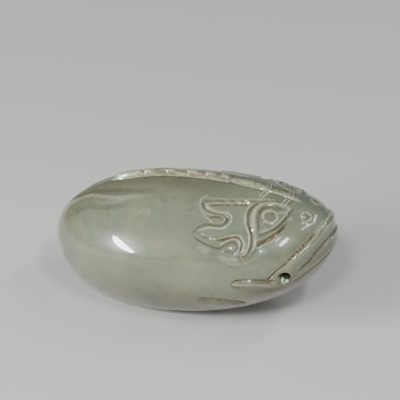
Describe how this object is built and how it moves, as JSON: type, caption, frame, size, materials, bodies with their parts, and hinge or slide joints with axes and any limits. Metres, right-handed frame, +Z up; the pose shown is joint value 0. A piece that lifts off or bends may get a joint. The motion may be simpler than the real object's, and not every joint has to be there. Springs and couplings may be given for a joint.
{
  "type": "carved jade toggle",
  "caption": "Pebble-form nephrite carving of a stylised fish-beast with a hooked crest, cheek scroll, wide mouth and a cord hole through the mouth corners.",
  "frame": {"origin": "middle of the overall box, on the surface that the carving rests on", "axes": "+X towards the snout, +Z up, with the carving symmetric about Y = 0"},
  "size_m": [0.0646, 0.0342, 0.0321],
  "materials": {
    "nephrite": "polished grey-green nephrite, slightly translucent, with fine wear",
    "packed_earth": "dull dark brown soil packed into the cut lines",
    "green_mineral": "pale green waxy mineral grains"
  },
  "bodies": {
    "root": {"jade_stone": "nephrite", "mouth_earth": "packed_earth", "eyelid_earth": "packed_earth", "scroll_earth": "packed_earth", "crest_earth": "packed_earth", "rim_grains": "green_mineral"}
  },
  "joints": []
}
